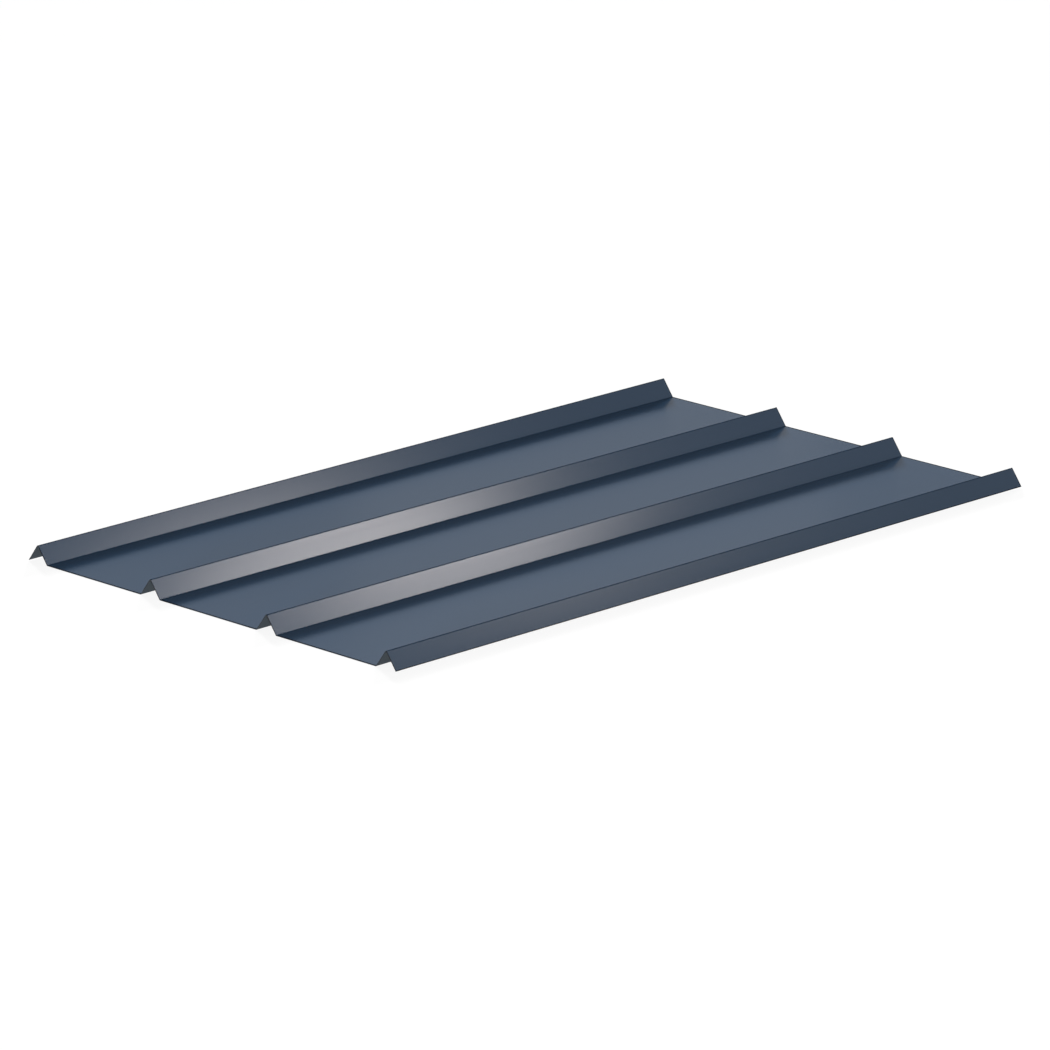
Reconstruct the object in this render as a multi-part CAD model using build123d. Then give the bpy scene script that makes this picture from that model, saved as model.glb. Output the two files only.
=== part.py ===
from build123d import *
import math
import os

# Driving dimensions, in millimetres
cover_width = 1000.0  # between the crests of the two outer ribs
pan_count = 3  # flat pans side by side across the cover width
sheet_length = 1800.0  # along the ribs
sheet_thickness = 0.7  # of the coated steel, the same all over
rib_height = 36.0  # from a pan to a crest, on the same face of the metal
rib_base = 55.0  # foot to foot across the underside of a rib
crest_bend = 1.4  # inner radius of the fold along a crest, under the metal
foot_bend = 2.0  # inner radius of the bend along a foot, on top of the metal
lap_lift = 1.2  # height of the two free edges above the underside of the pans

# The ribs stand at one pitch, with a pan between each two
rib_count = pan_count + 1
rib_pitch = cover_width / pan_count
half_base = rib_base / 2

# A flank rises from its foot and just touches the round of the crest,
# whose centre lies one bend radius below the top of the rib
crest_centre_height = rib_height - crest_bend
foot_to_crest_centre = math.hypot(half_base, crest_centre_height)
flank_angle = math.atan2(crest_centre_height, half_base) + math.asin(crest_bend / foot_to_crest_centre)

# Carried on, the two flanks of a rib would meet at this height
apex_height = half_base * math.tan(flank_angle)

# Each outer flank stops short of its foot line by this much of its width
free_edge_inset = lap_lift / math.tan(flank_angle)


def rib_corners(crest_x):
    """Left foot, apex and right foot of one rib, on the underside of the metal."""
    return [(crest_x - half_base, 0), (crest_x, apex_height), (crest_x + half_base, 0)]


def underside_line():
    """Underside of the section from one free edge to the other, with its bends rounded."""
    corners = []
    bends = []
    for rib in range(rib_count):
        corners += rib_corners(rib * rib_pitch - cover_width / 2)
        bends += [foot_bend + sheet_thickness, crest_bend, foot_bend + sheet_thickness]
    # The outermost feet are free edges instead, part way up their flanks
    corners[0] = (corners[0][0] + free_edge_inset, lap_lift)
    corners[-1] = (corners[-1][0] - free_edge_inset, lap_lift)
    return FilletPolyline(*corners, radius=bends[1:-1])


def roofing_sheet():
    """The sheet, rolled from one flat strip, so that its section has one thickness."""
    section = make_face(offset(underside_line(), amount=sheet_thickness, side=Side.LEFT))
    return extrude(Plane.XZ * section, amount=sheet_length / 2, both=True)


os.makedirs("parts", exist_ok=True)
export_step(roofing_sheet(), "parts/roofing_sheet.step")
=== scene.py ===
"""Looks of a rolled metal roofing sheet: its coated skin, its cut edges, and the studio round it."""

import logging
import math
from dataclasses import dataclass, field
from enum import Enum

import bpy
import numpy as np
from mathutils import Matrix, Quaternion, Vector


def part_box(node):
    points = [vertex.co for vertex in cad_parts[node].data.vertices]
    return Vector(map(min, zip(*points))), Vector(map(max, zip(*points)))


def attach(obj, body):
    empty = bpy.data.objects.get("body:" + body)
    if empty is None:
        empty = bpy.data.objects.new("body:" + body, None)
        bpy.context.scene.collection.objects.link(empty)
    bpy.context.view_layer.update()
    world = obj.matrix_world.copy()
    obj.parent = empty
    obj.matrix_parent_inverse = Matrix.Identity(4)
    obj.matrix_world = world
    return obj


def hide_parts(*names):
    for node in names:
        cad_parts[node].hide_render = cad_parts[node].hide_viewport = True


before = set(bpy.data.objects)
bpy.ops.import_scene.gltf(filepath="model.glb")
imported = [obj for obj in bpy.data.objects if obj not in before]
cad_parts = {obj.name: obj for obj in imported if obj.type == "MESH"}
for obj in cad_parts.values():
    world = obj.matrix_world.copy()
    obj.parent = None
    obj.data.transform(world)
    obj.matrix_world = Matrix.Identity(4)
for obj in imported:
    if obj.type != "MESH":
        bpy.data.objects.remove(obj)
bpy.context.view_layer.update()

LOG = logging.getLogger("roofing_sheet")

Colour = tuple[float, float, float]
Place = tuple[float, float, float]
Pair = tuple[float, float]
Socket = bpy.types.NodeSocket

MILLIMETRE = 0.001
# A length too short to matter when two places are compared.
SLACK = MILLIMETRE / 100
# The mesh attribute that holds the coating's strain, and its values in a bend and along a cut.
# Where it is set, the paint is darkened as painted shade, drawing crests, feet and cut edges dark.
STRAIN = "strain"
BENT = 0.5
CUT = 1.0
# Where nearly all values of a noise lie, and the range that they are carried to.
NOISE_SPAN: Pair = (0.3, 0.7)
BOTH_WAYS: Pair = (-1, 1)


class Skin(Enum):
    """The four finishes of the sheet, by their material slot on the mesh."""

    TOP_COAT = 0
    CREASED_COAT = 1
    BACKING_COAT = 2
    CUT_STEEL = 3


class LampShape(Enum):
    """Outline of a softbox, by Blender's name for it."""

    BOX = "RECTANGLE"
    OVAL = "ELLIPSE"


def from_screen(red: int, green: int, blue: int) -> Colour:
    """Turn a colour as a screen shows it, 0 to 255, into linear light, by the sRGB curve.

    Args:
        red: Red as shown.
        green: Green as shown.
        blue: Blue as shown.

    Returns:
        The same colour in linear light, 0 to 1.
    """
    shown = np.array([red, green, blue]) / 255.0
    linear = np.where(shown <= 0.04045, shown / 12.92, ((shown + 0.055) / 1.055) ** 2.4)
    return tuple(float(value) for value in linear)


SLATE_BLUE = from_screen(47, 72, 98)
# Painted shade: a dark blue that the paint turns towards along crests, feet and cut edges, drawing
# them as shaded lines.
EDGE_SHADE_BLUE = from_screen(20, 28, 38)


def in_sky(azimuth: float, elevation: float) -> Vector:
    """Direction of a place in the sky.

    Args:
        azimuth: Degrees from +X towards +Y.
        elevation: Degrees above the floor.

    Returns:
        (cos e cos a, cos e sin a, sin e), of length 1.
    """
    turn, rise = math.radians(azimuth), math.radians(elevation)
    return Vector((math.cos(rise) * math.cos(turn), math.cos(rise) * math.sin(turn), math.sin(rise)))


def place_object(name: str, data: bpy.types.ID, position: Place, aim: Vector) -> bpy.types.Object:
    """Put a lamp or a camera in the scene.

    Args:
        name: The object's name.
        data: The lamp or camera.
        position: Where it stands.
        aim: Direction that it looks in.

    Returns:
        The new object.
    """
    made = bpy.data.objects.new(name, data)
    made.location = position
    made.rotation_mode = "QUATERNION"
    made.rotation_quaternion = aim.to_track_quat("-Z", "Y")
    bpy.context.scene.collection.objects.link(made)
    return made


@dataclass
class SectionLine:
    """Points across the sheet, from one free edge to the other.

    Attributes:
        under: Points on the underside, one row (x, z) each.
        slope: The metal's slope at each point, in radians, rising towards +X.
        strain: How far the coating is strained, BENT in a bend and CUT along a slit edge, which
        also sets the painted shade that darkens the paint there.
        pan: How far each point is into a pan, 0 at its bends and 1 in its middle.
    """

    under: np.ndarray
    slope: np.ndarray
    strain: np.ndarray
    pan: np.ndarray

    def over(self, thickness: float) -> np.ndarray:
        """Points on the top: each underside point moved one thickness along its normal.

        Args:
            thickness: The metal's thickness.

        Returns:
            One row (x, z) for each point.
        """
        normal = np.stack([-np.sin(self.slope), np.cos(self.slope)], axis=1)
        return self.under + thickness * normal


def straight_run(
    start: Pair, end: Pair, slope: float, shares: np.ndarray, strain: np.ndarray
) -> SectionLine:
    """Points on a straight run: its start plus a share of the way to its end.

    A level run is a pan, and how far a point is into it is the square of sin(pi share).

    Args:
        start: Its first point (x, z).
        end: Its last point (x, z), which the next run has.
        slope: Its slope, in radians.
        shares: Where its points lie, as shares of its length from 0 to under 1.
        strain: The coating's strain at each point.

    Returns:
        Its points.
    """
    under = np.array(start) + shares[:, None] * (np.array(end) - np.array(start))
    crown = np.sin(np.pi * shares) ** 2 if slope == 0 else np.zeros(len(shares))
    return SectionLine(under, np.full(len(shares), slope), strain, crown)


def bend_run(centre: Pair, radius: float, slopes: Pair, steps: int) -> SectionLine:
    """Points round a bend: its centre plus its radius times (sin slope, -cos slope).

    Args:
        centre: Its centre (x, z).
        radius: Its radius on the underside, negative where the centre is under the metal.
        slopes: The slope at its start and at its end, in radians.
        steps: How many points it has, without its last one.

    Returns:
        Its points.
    """
    slope = np.linspace(slopes[0], slopes[1], steps, endpoint=False)
    under = np.array(centre) + radius * np.stack([np.sin(slope), -np.cos(slope)], axis=1)
    return SectionLine(under, slope, np.full(steps, BENT), np.zeros(steps))


@dataclass
class RolledSection:
    """The sheet's section: ribs with a sharp fold on top, and flat pans between them, in metres.

    Attributes:
        cover_width: Distance from the first crest to the last one.
        pan_count: How many pans it has.
        thickness: The metal's thickness.
        rib_height: Height of a crest's underside over the pans' underside.
        rib_base: Width of a rib between the corners of its feet.
        crest_bend: Radius of a crest, on the underside.
        foot_bend: Radius of a foot, on the top.
        lap_lift: Height of the free edges over the pans' underside.
        fold_reach: How far past a bend the coating is strained, and its paint darkened as painted
            shade.
        slit_reach: How far from a free edge the coating is strained, and its paint darkened as
            painted shade.
        foot_steps: Points round a foot.
        fold_steps: Points round a crest.
        pan_steps: Points across a pan.
        flank_shares: Where a flank's inner points lie, as shares of the way down.
        past_fold: Where the strain is gone under a crest, in reaches.
        past_low: Where it is gone over a foot or a free edge, in reaches.
    """

    cover_width: float = 1000 * MILLIMETRE
    pan_count: int = 3
    thickness: float = 0.7 * MILLIMETRE
    rib_height: float = 36 * MILLIMETRE
    rib_base: float = 55 * MILLIMETRE
    crest_bend: float = 1.4 * MILLIMETRE
    foot_bend: float = 2.0 * MILLIMETRE
    lap_lift: float = 1.2 * MILLIMETRE
    fold_reach: float = 0.3 * MILLIMETRE
    slit_reach: float = 1.6 * MILLIMETRE
    foot_steps: int = 8
    fold_steps: int = 16
    pan_steps: int = 24
    flank_shares: tuple[float, ...] = (0.25, 0.5, 0.75)
    past_fold: float = 2.0
    past_low: float = 1.4

    @property
    def flank_angle(self) -> float:
        """Slope of a flank: the line from its foot's corner that touches the crest's round.

        Returns:
            The slope, in radians.
        """
        height = self.rib_height - self.crest_bend
        reach = math.hypot(self.rib_base / 2, height)
        return math.atan2(height, self.rib_base / 2) + math.asin(self.crest_bend / reach)

    @property
    def foot_radius(self) -> float:
        """Radius of a foot's bend on the underside."""
        return self.foot_bend + self.thickness

    @property
    def foot_reach(self) -> float:
        """Distance from a foot's corner to each end of its bend."""
        return self.foot_radius * math.tan(self.flank_angle / 2)

    @property
    def rib_half(self) -> float:
        """Distance from a crest to where the pan beside it starts."""
        return self.rib_base / 2 + self.foot_reach

    def flank(self, crest_x: float, side: int, is_free: bool) -> SectionLine:
        """One flank, between its crest's fold and its foot's bend or its free edge.

        Args:
            crest_x: Where its crest stands.
            side: -1 left of the crest, 1 right of it.
            is_free: Whether it ends in a free edge.

        Returns:
            Its points, in the order of +X.
        """
        angle = self.flank_angle
        top = (
            crest_x + side * self.crest_bend * math.sin(angle),
            self.rib_height - self.crest_bend * (1 - math.cos(angle)),
        )
        drop = self.lap_lift if is_free else self.foot_reach * math.sin(angle)
        foot = (crest_x + side * (self.rib_base / 2 - drop / math.tan(angle)), drop)
        length = math.dist(top, foot)
        fold = self.fold_reach / length
        low = (self.slit_reach if is_free else self.fold_reach) / length
        near_top = (0, fold, self.past_fold * fold)
        from_top = np.array([*near_top, *self.flank_shares, 1 - self.past_low * low, 1 - low, 1])
        # The strain is gone at the inner points and at one more on each side of them.
        calm = np.zeros(len(self.flank_shares) + 2)
        strain = np.concatenate([(BENT, BENT), calm, (CUT, CUT) if is_free else (0, BENT)])
        if side > 0:
            return straight_run(top, foot, -angle, from_top[:-1], strain[:-1])
        return straight_run(foot, top, angle, (1 - from_top)[:0:-1], strain[:0:-1])

    def rib(self, crest_x: float, free_left: bool, free_right: bool) -> list[SectionLine]:
        """One rib: foot, flank, fold, flank and foot, or a free edge in place of a foot.

        Args:
            crest_x: Where its crest stands.
            free_left: Whether its left flank ends in a free edge.
            free_right: Whether its right flank ends in a free edge.

        Returns:
            Its runs.
        """
        angle = self.flank_angle
        crest = (crest_x, self.rib_height - self.crest_bend)
        runs = [
            self.flank(crest_x, -1, free_left),
            bend_run(crest, -self.crest_bend, (angle, -angle), self.fold_steps),
            self.flank(crest_x, 1, free_right),
        ]
        if not free_left:
            centre = (crest_x - self.rib_half, self.foot_radius)
            runs.insert(0, bend_run(centre, self.foot_radius, (0, angle), self.foot_steps))
        if not free_right:
            centre = (crest_x + self.rib_half, self.foot_radius)
            runs.append(bend_run(centre, self.foot_radius, (-angle, 0), self.foot_steps))
        return runs

    def line(self) -> SectionLine:
        """Work out the whole section.

        Returns:
            Its points from the left free edge to the right one.
        """
        pitch = self.cover_width / self.pan_count
        shares = np.arange(self.pan_steps) / self.pan_steps
        runs: list[SectionLine] = []
        for rib in range(self.pan_count + 1):
            crest_x = rib * pitch - self.cover_width / 2
            is_last = rib == self.pan_count
            runs += self.rib(crest_x, rib == 0, is_last)
            if not is_last:
                start = (crest_x + self.rib_half, 0.0)
                end = (crest_x + pitch - self.rib_half, 0.0)
                runs.append(straight_run(start, end, 0.0, shares, np.zeros(len(shares))))
        edge = self.cover_width / 2 + self.rib_base / 2 - self.lap_lift / math.tan(self.flank_angle)
        last = np.array([[edge, self.lap_lift]])
        runs.append(SectionLine(last, np.array([-self.flank_angle]), np.full(1, CUT), np.zeros(1)))
        columns = zip(*(vars(run).values() for run in runs))
        return SectionLine(*(np.concatenate(column) for column in columns))


class NodeSheet:
    """A node tree under construction, with short ways to add nodes and join them."""

    def __init__(self, tree: bpy.types.NodeTree) -> None:
        """Take the tree to fill."""
        self.tree = tree

    def add(self, kind: str, **settings: object) -> bpy.types.Node:
        """Add a node.

        Args:
            kind: Its Blender type, where the ShaderNode prefix may be left out.
            settings: Its properties, by name.

        Returns:
            The new node.
        """
        node = self.tree.nodes.new(kind if kind.startswith("Node") else "ShaderNode" + kind)
        for name, value in settings.items():
            setattr(node, name, value)
        return node

    def join(self, source: Socket, target: Socket) -> None:
        """Link an output socket to an input socket."""
        self.tree.links.new(source, target)

    def noise(self, place: Socket, scale: float, detail: float = 2.0) -> Socket:
        """Add a noise texture.

        Args:
            place: The coordinates that it reads.
            scale: Its waves in one unit of the coordinates.
            detail: Its finer layers.

        Returns:
            Its value, about 0.5 all over.
        """
        texture = self.add("TexNoise")
        texture.inputs["Scale"].default_value = scale
        texture.inputs["Detail"].default_value = detail
        self.join(place, texture.inputs["Vector"])
        return texture.outputs["Fac"]

    def stretch(self, place: Socket, scale: Place) -> Socket:
        """Multiply each axis of some coordinates, so that a pattern runs long one way.

        Args:
            place: The coordinates.
            scale: What each axis is multiplied by.

        Returns:
            The stretched coordinates.
        """
        mapping = self.add("Mapping")
        mapping.inputs["Scale"].default_value = scale
        self.join(place, mapping.inputs["Vector"])
        return mapping.outputs["Vector"]

    def ranged(self, value: Socket, source: Pair, target: Pair) -> Socket:
        """Carry a value from one range to another.

        Args:
            value: The value.
            source: Its low and high end.
            target: What those ends become.

        Returns:
            The carried value.
        """
        node = self.add("MapRange")
        for name, number in zip(("From Min", "From Max", "To Min", "To Max"), (*source, *target)):
            node.inputs[name].default_value = number
        self.join(value, node.inputs["Value"])
        return node.outputs["Result"]

    def maths(self, operation: str, *terms: Socket | float) -> Socket:
        """Add a Math node.

        Args:
            operation: Blender's name of the operation.
            terms: What it works on, sockets or numbers.

        Returns:
            Its result.
        """
        node = self.add("Math", operation=operation)
        for term, socket in zip(terms, node.inputs):
            if isinstance(term, Socket):
                self.join(term, socket)
            else:
                socket.default_value = term
        return node.outputs[0]

    def mix(self, share: Socket, first: Colour, second: Colour) -> Socket:
        """Mix two colours.

        Args:
            share: The second colour's share, 0 to 1.
            first: The first colour, in linear light.
            second: The second colour, in linear light.

        Returns:
            The mixed colour.
        """
        node = self.add("Mix", data_type="RGBA")
        ends = [socket for socket in node.inputs if socket.type == "RGBA"]
        for end, colour in zip(ends, (first, second)):
            end.default_value = (*colour, 1)
        self.join(share, node.inputs["Factor"])
        return next(socket for socket in node.outputs if socket.type == "RGBA")


def new_material(name: str) -> tuple[bpy.types.Material, NodeSheet]:
    """Start a material.

    Args:
        name: Its name.

    Returns:
        The material, and its node tree with a Principled shader in it.
    """
    made = bpy.data.materials.new(name)
    made.use_nodes = True
    return made, NodeSheet(made.node_tree)


class NodeGroup:
    """A shader node group with named inputs and outputs."""

    def __init__(self, name: str, inputs: dict[str, str], outputs: dict[str, str]) -> None:
        """Make the group and its sockets.

        Args:
            name: Its name.
            inputs: Its inputs' kinds by name: Float, Color or Vector.
            outputs: Its outputs' kinds by name.
        """
        self.tree = bpy.data.node_groups.new(name, "ShaderNodeTree")
        for way, ports in (("INPUT", inputs), ("OUTPUT", outputs)):
            for port, kind in ports.items():
                self.tree.interface.new_socket(port, in_out=way, socket_type="NodeSocket" + kind)
        self.sheet = NodeSheet(self.tree)
        self.given = self.sheet.add("NodeGroupInput").outputs
        self.made = self.sheet.add("NodeGroupOutput").inputs

    def put(self, sheet: NodeSheet, **values: float) -> bpy.types.Node:
        """Place the group in a material.

        Args:
            sheet: The material's nodes.
            values: Numbers for its inputs, with _ for each space in a name.

        Returns:
            The group's node.
        """
        node = sheet.add("Group", node_tree=self.tree)
        for name, value in values.items():
            node.inputs[name.replace("_", " ")].default_value = value
        return node


class CoatingFilm(NodeGroup):
    """A baked paint film: its shade and gloss drift slowly, and its surface peels very finely.

    Base Color is the colour times one plus a slow noise, longest along the sheet. Roughness is
    its mean plus the same noise and a finer one that runs in lines, as the rolls leave it.
    Normal is a bump of a fine noise. A run is what the coordinates are multiplied by.
    """

    DRIFT_RUN: Place = (1, 0.3, 1)
    DRIFT_SCALE = 5.0
    DRIFT_DETAIL = 3.0
    LINE_RUN: Place = (220, 1.5, 40)
    PEEL_SCALE = 450.0
    PEEL_DETAIL = 1.0

    def __init__(self) -> None:
        """Build the group once."""
        super().__init__(
            "coating_film",
            {
                "Place": "Vector",
                "Colour": "Color",
                "Colour Drift": "Float",
                "Roughness": "Float",
                "Roughness Drift": "Float",
                "Roll Marks": "Float",
                "Peel Depth": "Float",
            },
            {"Base Color": "Color", "Roughness": "Float", "Normal": "Vector"},
        )
        sheet, given, made = self.sheet, self.given, self.made
        along = sheet.stretch(given["Place"], self.DRIFT_RUN)
        slow = sheet.noise(along, self.DRIFT_SCALE, self.DRIFT_DETAIL)
        drift = sheet.ranged(slow, NOISE_SPAN, BOTH_WAYS)
        shade = sheet.maths("MULTIPLY_ADD", drift, given["Colour Drift"], 1.0)
        tint = sheet.add("VectorMath", operation="SCALE")
        sheet.join(given["Colour"], tint.inputs[0])
        sheet.join(shade, tint.inputs["Scale"])
        sheet.join(tint.outputs[0], made["Base Color"])
        lines = sheet.noise(sheet.stretch(given["Place"], self.LINE_RUN), 1.0)
        marks = sheet.ranged(lines, NOISE_SPAN, BOTH_WAYS)
        gloss = sheet.maths("MULTIPLY_ADD", drift, given["Roughness Drift"], given["Roughness"])
        sheet.join(sheet.maths("MULTIPLY_ADD", marks, given["Roll Marks"], gloss), made["Roughness"])
        peel = sheet.add("Bump")
        fine = sheet.noise(given["Place"], self.PEEL_SCALE, self.PEEL_DETAIL)
        sheet.join(fine, peel.inputs["Height"])
        sheet.join(given["Peel Depth"], peel.inputs["Distance"])
        sheet.join(peel.outputs["Normal"], made["Normal"])


class PaintedEdgeShade(NodeGroup):
    """Painted shade where a fold or cut strains a coating, broken up a little along its length.

    Edge Shade is the strain times a noise that runs from Unbroken up to 1: the share of darker
    paint, painted shade that draws the folds and cut edges as dark lines.
    """

    PATCH_SCALE = 60.0
    PATCH_DETAIL = 3.0
    PATCH_SPAN: Pair = (0.35, 0.6)

    def __init__(self) -> None:
        """Build the group once."""
        super().__init__(
            "strain_wear",
            {"Place": "Vector", "Strain": "Float", "Unbroken": "Float"},
            {"Worn": "Float"},
        )
        sheet, given, made = self.sheet, self.given, self.made
        patches = sheet.noise(given["Place"], self.PATCH_SCALE, self.PATCH_DETAIL)
        broken = sheet.ranged(patches, self.PATCH_SPAN, (0, 1))
        sheet.join(given["Unbroken"], broken.node.inputs["To Min"])
        sheet.join(sheet.maths("MULTIPLY", broken, given["Strain"]), made["Worn"])


@dataclass(frozen=True)
class CoatFinish:
    """A baked coil coating, darkened as painted shade along its folds and cut edges.

    Attributes:
        name: The material's name.
        colour: The paint, in linear light.
        painted_shade_colour: The paint darkened along a fold or a cut, as painted shade.
        roughness: Its mean roughness.
        gloss: Its specular level, 0.5 for a common resin.
        drift: Share by which its shade drifts.
        roughness_drift: How much its roughness drifts.
        roll_marks: How much its roughness changes from line to line.
        peel: Height of its surface peel, in metres.
        unbroken: Share of that painted shade which is left where it is broken up.
    """

    name: str
    colour: Colour
    painted_shade_colour: Colour
    roughness: float
    gloss: float
    drift: float
    roughness_drift: float
    roll_marks: float
    peel: float
    unbroken: float = 0.7

    def material(self, film: CoatingFilm, shade_group: PaintedEdgeShade) -> bpy.types.Material:
        """Make the material.

        Args:
            film: The shader group of paint films.
            shade_group: The shader group of painted shade along folds and cut edges.

        Returns:
            The material.
        """
        made, sheet = new_material(self.name)
        shader = made.node_tree.nodes["Principled BSDF"]
        shader.inputs["Specular IOR Level"].default_value = self.gloss
        place = sheet.add("TexCoord").outputs["Object"]
        strain = sheet.add("Attribute", attribute_name=STRAIN).outputs["Fac"]
        shade_mask = shade_group.put(sheet, Unbroken=self.unbroken)
        sheet.join(place, shade_mask.inputs["Place"])
        sheet.join(strain, shade_mask.inputs["Strain"])
        # Painted shade: the paint is mixed towards a darker colour along folds, feet and cut edges.
        paint = sheet.mix(shade_mask.outputs["Worn"], self.colour, self.painted_shade_colour)
        coat = film.put(
            sheet,
            Colour_Drift=self.drift,
            Roughness=self.roughness,
            Roughness_Drift=self.roughness_drift,
            Roll_Marks=self.roll_marks,
            Peel_Depth=self.peel,
        )
        sheet.join(place, coat.inputs["Place"])
        sheet.join(paint, coat.inputs["Colour"])
        for socket in ("Base Color", "Roughness", "Normal"):
            sheet.join(coat.outputs[socket], shader.inputs[socket])
        return made


@dataclass(frozen=True)
class SteelFinish:
    """Sheared steel between its coatings, with the fine drag lines of the blade.

    Attributes:
        name: The material's name.
        dark: The burnished part, in linear light.
        light: The torn part, in linear light.
        metallic: How far it is bare metal, where zinc and oil dull it.
        drag: The drag lines' waves in a metre, along x, y and z.
        divide: The noise's values between which burnished steel turns to torn.
        roughness: Its roughness where the noise is low and where it is high.
    """

    name: str
    dark: Colour
    light: Colour
    metallic: float
    drag: Place = (900, 900, 120)
    divide: Pair = (0.35, 0.65)
    roughness: Pair = (0.5, 0.75)

    def material(self) -> bpy.types.Material:
        """Make the material.

        Returns:
            The material.
        """
        made, sheet = new_material(self.name)
        shader = made.node_tree.nodes["Principled BSDF"]
        shader.inputs["Metallic"].default_value = self.metallic
        place = sheet.add("TexCoord").outputs["Object"]
        lines = sheet.noise(sheet.stretch(place, self.drag), 1.0)
        tone = sheet.mix(sheet.ranged(lines, self.divide, (0, 1)), self.dark, self.light)
        sheet.join(tone, shader.inputs["Base Color"])
        sheet.join(sheet.ranged(lines, NOISE_SPAN, self.roughness), shader.inputs["Roughness"])
        return made


@dataclass
class RoofingSheet:
    """The sheet itself: a closed shell, its section carried along its length.

    Attributes:
        section: Its section.
        row_pitch: Distance between two rows of points along its length.
        cut_reach: How far from a cut end the coating is strained, and its paint darkened as
        painted shade.
        past_cut: Where that strain is gone, in reaches.
        pan_wave: How far the pans rise between their bends, at most.
        swells: Each sine of that rise: its radians in a metre along y and along x, and its phase.
        sharp_angle: Edges that turn by more than this stay sharp, in degrees.
        top_coat: The coating that the weather meets.
        creased_coat: The same coating in a bend or along a cut, crazed and dull, its paint
        darkened there as painted shade.
        backing_coat: The thin coating underneath, its colour set dark partly as painted shade of
        the underside.
        cut_steel: Its cut ends and slit edges, their tones dark partly as painted shade.
    """

    section: RolledSection = field(default_factory=RolledSection)
    row_pitch: float = 15 * MILLIMETRE
    cut_reach: float = 4.0 * MILLIMETRE
    past_cut: float = 1.3
    pan_wave: float = 0.2 * MILLIMETRE
    swells: tuple[Place, ...] = ((7.3, 5.1, 0), (12.9, -8.7, 1.3), (19.4, 3.9, 2.6))
    sharp_angle: float = 30.0
    top_coat: CoatFinish = CoatFinish(
        name="slate_blue_coat",
        colour=SLATE_BLUE,
        painted_shade_colour=EDGE_SHADE_BLUE,
        roughness=0.2,
        gloss=0.5,
        drift=0.015,
        roughness_drift=0.008,
        roll_marks=0.006,
        peel=0.002 * MILLIMETRE,
    )
    creased_coat: CoatFinish = CoatFinish(
        name="creased_blue_coat",
        colour=SLATE_BLUE,
        painted_shade_colour=EDGE_SHADE_BLUE,
        roughness=0.7,
        gloss=0.12,
        drift=0.05,
        roughness_drift=0.05,
        roll_marks=0.02,
        peel=0.01 * MILLIMETRE,
    )
    # Partly painted shade: the backing coat is set a dark blue-grey so that the underside looks
    # shaded, and darker still along folds and cuts.
    backing_coat: CoatFinish = CoatFinish(
        name="grey_backing_coat",
        colour=from_screen(56, 70, 80),
        painted_shade_colour=from_screen(42, 50, 57),
        roughness=0.55,
        gloss=0.22,
        drift=0.04,
        roughness_drift=0.04,
        roll_marks=0.02,
        peel=0.006 * MILLIMETRE,
    )
    # Partly painted shade: both steel tones are set darker than bare steel, so that the cut edges
    # draw as dark lines.
    cut_steel: SteelFinish = SteelFinish(
        name="sheared_steel",
        dark=from_screen(24, 26, 30),
        light=from_screen(52, 54, 58),
        metallic=0.6,
    )

    def rows(self) -> tuple[np.ndarray, np.ndarray]:
        """Places of the rows along the length, closer together at the cut ends.

        Returns:
            The places, and how far each is from the nearer cut end.
        """
        low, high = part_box("roofing_sheet")
        count = round((high.y - low.y) / self.row_pitch) + 1
        inner = np.linspace(low.y, high.y, count)[1:-1]
        on_flank = math.cos(self.section.flank_angle) ** 2
        steps = self.cut_reach * np.array([0, on_flank, self.past_cut * on_flank, 1, self.past_cut])
        along = np.concatenate([low.y + steps, inner, high.y - steps[::-1]])
        return along, np.minimum(along - low.y, high.y - along)

    def waves(self, line: SectionLine, along: np.ndarray) -> np.ndarray:
        """Lift of the metal by the slow waves of thin sheet between its bends.

        The lift is the wave height, times how far a point is into its pan, times half of one
        plus the mean of the sines, so it is never negative.

        Args:
            line: The section's points.
            along: The rows' places along the length.

        Returns:
            The lift of each point, one row of the array for each place along the length.
        """
        x = line.under[None, :, 0]
        y = along[:, None]
        swell = sum(np.sin(by_y * y + by_x * x + phase) for by_y, by_x, phase in self.swells)
        count = len(self.swells)
        return self.pan_wave * line.pan[None, :] * (count + swell) / (2 * count)

    def mesh(self) -> bpy.types.Mesh:
        """Work out the shell.

        A point is (x, y, z), where x and z come from the section, on its underside or one
        thickness over it, and y is the row's place along the length. The strain reaches in from a
        cut end by the square of the cosine of the slope, and there the paint is darkened as
        painted shade, a dark line along each cut end.

        Returns:
            The mesh, with the coating's strain as an attribute and a finish on each face.
        """
        line = self.section.line()
        along, from_cut = self.rows()
        lift = self.waves(line, along)
        shape = lift.shape
        grids = []
        for side in (line.under, line.over(self.section.thickness)):
            x = np.broadcast_to(side[:, 0], shape)
            y = np.broadcast_to(along[:, None], shape)
            grids.append(np.stack([x, y, side[:, 1] + lift], axis=2))
        points = np.concatenate([grid.reshape(-1, 3) for grid in grids])
        under = np.arange(lift.size).reshape(shape)
        faces, skins = self.faces(under, under + lift.size)
        made = bpy.data.meshes.new("roofing_sheet_skin")
        reach = self.cut_reach * np.cos(line.slope) ** 2 + SLACK
        is_cut = from_cut[:, None] <= reach[None, :]
        strain = np.tile(np.maximum(CUT * is_cut, line.strain[None, :]).ravel(), 2)
        is_creased = (skins == Skin.TOP_COAT.value) & (strain[faces].min(axis=1) >= BENT)
        skins = np.where(is_creased, Skin.CREASED_COAT.value, skins)
        made.from_pydata(points.tolist(), [], faces.tolist())
        made.polygons.foreach_set("material_index", skins)
        shade_mask = made.attributes.new(STRAIN, "FLOAT", "POINT")
        shade_mask.data.foreach_set("value", strain.astype(np.float32))
        made.shade_smooth()
        made.set_sharp_from_angle(angle=math.radians(self.sharp_angle))
        made.update()
        return made

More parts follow.
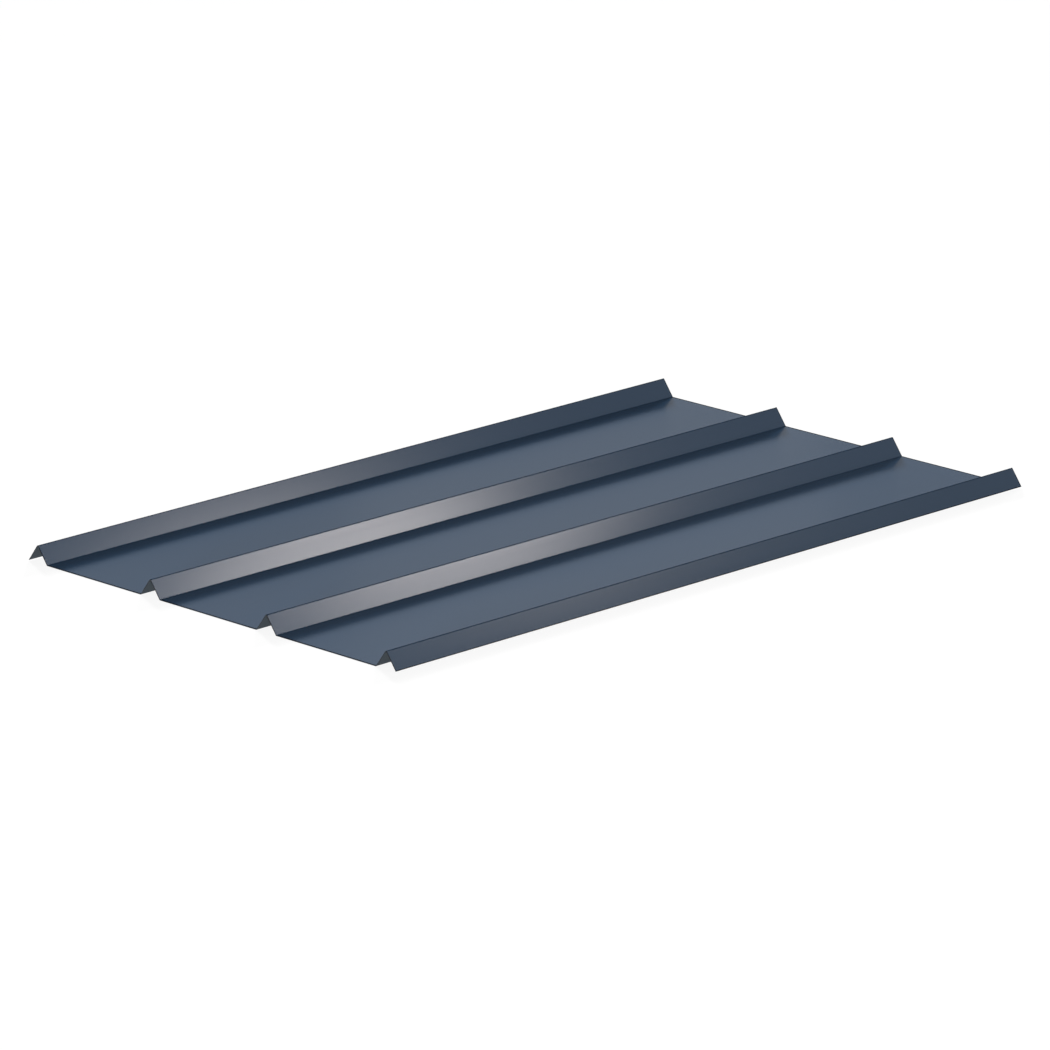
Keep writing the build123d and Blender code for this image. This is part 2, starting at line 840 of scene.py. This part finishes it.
    @staticmethod
    def faces(under: np.ndarray, over: np.ndarray) -> tuple[np.ndarray, np.ndarray]:
        """Join the two grids of points into a closed shell.

        Args:
            under: Numbers of the underside's points, a row for each place along the length.
            over: Numbers of the top's points, laid out the same way.

        Returns:
            The faces, four points each, and each face's finish.
        """

        def quads(*corners: np.ndarray) -> np.ndarray:
            """Faces whose corners are in four arrays of one shape."""
            return np.stack(corners, axis=-1).reshape(-1, 4)

        def strip(first: np.ndarray, second: np.ndarray) -> np.ndarray:
            """Faces between two lines of points of one length."""
            return quads(first[:-1], first[1:], second[1:], second[:-1])

        top = quads(over[:-1, :-1], over[:-1, 1:], over[1:, 1:], over[1:, :-1])
        base = quads(under[:-1, :-1], under[1:, :-1], under[1:, 1:], under[:-1, 1:])
        cuts = np.concatenate(
            [
                strip(under[0], over[0]),
                strip(over[-1], under[-1]),
                strip(over[:, 0], under[:, 0]),
                strip(under[:, -1], over[:, -1]),
            ]
        )
        dressed = ((top, Skin.TOP_COAT), (base, Skin.BACKING_COAT), (cuts, Skin.CUT_STEEL))
        skins = np.concatenate([np.full(len(group), skin.value) for group, skin in dressed])
        return np.concatenate([top, base, cuts]), skins

    def build(self) -> bpy.types.Object:
        """Make the sheet's piece and dress it.

        Returns:
            The piece.
        """
        film, shade_group = CoatingFilm(), PaintedEdgeShade()
        mesh = self.mesh()
        for coat in (self.top_coat, self.creased_coat, self.backing_coat):
            mesh.materials.append(coat.material(film, shade_group))
        mesh.materials.append(self.cut_steel.material())
        piece = bpy.data.objects.new("roofing_sheet_skin", mesh)
        bpy.context.scene.collection.objects.link(piece)
        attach(piece, "root")
        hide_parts("roofing_sheet")
        return piece


@dataclass(frozen=True)
class Softbox:
    """A studio lamp of some size that faces a point.

    Attributes:
        name: Its name.
        position: Where it stands.
        target: The point that it faces.
        width: Its width.
        height: Its height.
        power: Its power, in watts.
        shape: Its outline.
        turn: How far it is turned round the line to its target, in degrees.
        colour: Its tint.
        in_gloss: Whether glossy surfaces mirror it.
    """

    name: str
    position: Place
    target: Place
    width: float
    height: float
    power: float
    shape: LampShape = LampShape.BOX
    turn: float = 0.0
    colour: Colour = (1.0, 1.0, 1.0)
    in_gloss: bool = True

    def build(self) -> bpy.types.Object:
        """Make the lamp.

        Returns:
            The lamp's object.
        """
        light = bpy.data.lights.new(self.name, "AREA")
        light.shape = self.shape.value
        light.size, light.size_y = self.width, self.height
        light.energy = self.power
        light.color = self.colour
        aim = Vector(self.target) - Vector(self.position)
        lamp = place_object(self.name, light, self.position, aim)
        lamp.rotation_quaternion @= Quaternion((0, 0, 1), math.radians(self.turn))
        lamp.visible_camera = False
        lamp.visible_glossy = self.in_gloss
        return lamp


@dataclass(frozen=True)
class DistantLamp:
    """A far lamp behind a screen: its light comes from one direction, and nothing mirrors it.

    Attributes:
        name: Its name.
        azimuth: Direction that it stands in, degrees from +X towards +Y.
        elevation: Its height over the floor, in degrees.
        spread: Its width in the sky, in degrees.
        strength: Light on a surface that faces it, where pi renders a colour as it is written.
    """

    name: str
    azimuth: float
    elevation: float
    spread: float
    strength: float

    def build(self) -> bpy.types.Object:
        """Make the lamp.

        Returns:
            The lamp's object.
        """
        light = bpy.data.lights.new(self.name, "SUN")
        light.angle = math.radians(self.spread)
        light.energy = self.strength
        lamp = place_object(self.name, light, (0, 0, 0), -in_sky(self.azimuth, self.elevation))
        lamp.visible_camera = False
        lamp.visible_glossy = False
        return lamp


@dataclass(frozen=True)
class ViewPoint:
    """The camera, as far off and as long in the lens as in the photograph.

    Attributes:
        position: Where it stands.
        direction: Direction that it looks in.
        lens: Its focal length, in millimetres.
        sensor: Its sensor's width, in millimetres.
        far_clip: How far it sees, which is past the floor's rim.
    """

    position: Place = (10.0394, -10.0791, 4.1623)
    direction: Place = (-0.67811, 0.67911, -0.28104)
    lens: float = 250.0
    sensor: float = 36.0
    far_clip: float = 400.0

    def build(self) -> bpy.types.Object:
        """Make the camera and look through it.

        Returns:
            The camera's object.
        """
        data = bpy.data.cameras.new("camera")
        data.lens = self.lens
        data.sensor_width = self.sensor
        data.clip_end = self.far_clip
        camera = place_object("camera", data, self.position, Vector(self.direction))
        bpy.context.scene.camera = camera
        return camera


@dataclass(frozen=True)
class WhiteGround:
    """Ground that looks white: dim paint that keeps the shadow, under a white glow.

    The glow is there for the camera and for mirrors only, so it throws no light on the paint
    of the sheet.

    Attributes:
        paint: Share of the light that the paint throws back.
        glow: How bright it looks besides, to the camera and in a mirror.
    """

    paint: float = 0.12
    glow: float = 0.895

    def material(self) -> bpy.types.Material:
        """Make the material.

        Returns:
            The material.
        """
        made, sheet = new_material("white_ground")
        made.node_tree.nodes.remove(made.node_tree.nodes["Principled BSDF"])
        paint = sheet.add("BsdfDiffuse")
        paint.inputs["Color"].default_value = (self.paint, self.paint, self.paint, 1)
        path = sheet.add("LightPath").outputs
        seen = sheet.maths("MAXIMUM", path["Is Camera Ray"], path["Is Glossy Ray"])
        seen = sheet.maths("MAXIMUM", seen, path["Is Transmission Ray"])
        glow = sheet.add("Emission")
        sheet.join(sheet.maths("MULTIPLY", seen, self.glow), glow.inputs["Strength"])
        both = sheet.add("AddShader")
        sheet.join(paint.outputs[0], both.inputs[0])
        sheet.join(glow.outputs[0], both.inputs[1])
        sheet.join(both.outputs[0], made.node_tree.nodes["Material Output"].inputs["Surface"])
        return made


@dataclass(frozen=True)
class Sky:
    """Soft surroundings: brightest about 20 degrees up, under half of that below, dimmest above.

    Attributes:
        levels: Height over the floor in degrees, and the share of the full glow there.
        glow: The full glow.
    """

    levels: tuple[Pair, ...] = (
        (0, 0.464),
        (7, 0.459),
        (11, 0.437),
        (15, 0.429),
        (18, 1.0),
        (20.5, 0.969),
        (24, 0.351),
        (28, 0.13),
        (90, 0.134),
    )
    glow: float = 0.493

    def build(self) -> bpy.types.World:
        """Make the surroundings.

        Returns:
            The world.
        """
        world = bpy.data.worlds.new("surroundings")
        world.use_nodes = True
        sheet = NodeSheet(world.node_tree)
        split = sheet.add("SeparateXYZ")
        sheet.join(sheet.add("TexCoord").outputs["Generated"], split.inputs[0])
        ramp = sheet.add("ValToRGB")
        stops = ramp.color_ramp.elements
        while len(stops) < len(self.levels):
            stops.new(1.0)
        for stop, (height, level) in zip(stops, self.levels):
            stop.position = math.sin(math.radians(height))
            stop.color = (level, level, level, 1)
        sheet.join(split.outputs["Z"], ramp.inputs["Fac"])
        background = world.node_tree.nodes["Background"]
        background.inputs["Strength"].default_value = self.glow
        sheet.join(ramp.outputs["Color"], background.inputs["Color"])
        bpy.context.scene.world = world
        return world


@dataclass
class Studio:
    """Floor, rim, lamps and surroundings, none of them part of the object.

    Attributes:
        floor_drop: How far the floor lies under the pans.
        floor_half: Half the floor's width.
        rim_radius: Radius of the white rim that stands round it.
        rim_height: Height of that rim.
        rim_steps: Sides of that rim.
        ground: The white ground's finish.
        sky: The surroundings.
        lamps: The lamps.
    """

    floor_drop: float = 0.3 * MILLIMETRE
    floor_half: float = 120.0
    rim_radius: float = 100.0
    rim_height: float = 9.0
    rim_steps: int = 96
    ground: WhiteGround = WhiteGround()
    sky: Sky = Sky()
    lamps: tuple[Softbox | DistantLamp, ...] = (
        DistantLamp("back_left_lamp", azimuth=148, elevation=20, spread=8, strength=4.17),
        DistantLamp("back_right_lamp", azimuth=122, elevation=17, spread=8, strength=2.93),
        Softbox(
            name="highlight_lamp",
            position=(1.766, 2.159, 2.265),
            target=(-0.03, -0.35, 0.018),
            width=0.85,
            height=0.578,
            power=13.34,
            shape=LampShape.OVAL,
            turn=-12.1,
            colour=(1.0, 0.929, 0.908),
        ),
        Softbox(
            name="window_softbox",
            position=(3.3, 4.6, 4.0),
            target=(0, 0.5, 0),
            width=8.0,
            height=8.0,
            power=80.0,
        ),
        Softbox(
            name="back_softbox",
            position=(-2.27, 2.48, 0.98),
            target=(0, 0.2, 0),
            width=1.2,
            height=1.2,
            power=0.34,
        ),
        Softbox(
            name="low_softbox",
            position=(3.12, -7.34, 0.63),
            target=(0, 0, 0),
            width=1.2,
            height=0.4,
            power=468.0,
            in_gloss=False,
        ),
        Softbox(
            name="front_left_softbox",
            position=(-3.32, -4.73, 3.95),
            target=(0, 0, 0),
            width=3.0,
            height=3.0,
            power=17.0,
        ),
        Softbox(
            name="front_right_softbox",
            position=(3.32, -4.73, 3.95),
            target=(0, 0, 0),
            width=3.0,
            height=3.0,
            power=17.0,
        ),
    )

    @staticmethod
    def stage_piece(
        name: str, points: np.ndarray, faces: np.ndarray, white: bpy.types.Material
    ) -> bpy.types.Object:
        """Make one piece of the white ground.

        Args:
            name: Its name.
            points: Its points.
            faces: Its faces, four points each.
            white: The white ground's material.

        Returns:
            The piece.
        """
        mesh = bpy.data.meshes.new(name)
        mesh.from_pydata(points.tolist(), [], faces.tolist())
        mesh.materials.append(white)
        piece = bpy.data.objects.new(name, mesh)
        bpy.context.scene.collection.objects.link(piece)
        return piece

    def build(self) -> None:
        """Set up the floor, the rim, the lamps and the surroundings.

        The rim is a grid of angle and height: (radius cos a, radius sin a, height).
        """
        white, drop = self.ground.material(), -self.floor_drop
        square = self.floor_half * np.array([(-1, -1), (1, -1), (1, 1), (-1, 1)])
        corners = np.column_stack([square, np.full(len(square), drop)])
        self.stage_piece("floor", corners, np.array([[0, 1, 2, 3]]), white)
        angle = np.arange(self.rim_steps) * 2 * np.pi / self.rim_steps
        ring = self.rim_radius * np.stack([np.cos(angle), np.sin(angle)], axis=1)
        foot = np.column_stack([ring, np.full(self.rim_steps, drop)])
        top = np.column_stack([ring, np.full(self.rim_steps, self.rim_height)])
        number = np.arange(self.rim_steps)
        after = np.roll(number, -1)
        sides = np.stack([after, number, number + self.rim_steps, after + self.rim_steps], axis=1)
        self.stage_piece("rim", np.concatenate([foot, top]), sides, white)
        for lamp in self.lamps:
            lamp.build()
        self.sky.build()
        bpy.context.scene.view_settings.view_transform = "Standard"


def main() -> None:
    """Build the camera, the sheet and the studio, and report the sheet."""
    logging.basicConfig(level=logging.INFO)
    ViewPoint().build()
    sheet = RoofingSheet().build()
    LOG.info("%s: %d faces", sheet.name, len(sheet.data.polygons))
    Studio().build()


if __name__ == "__main__":
    main()
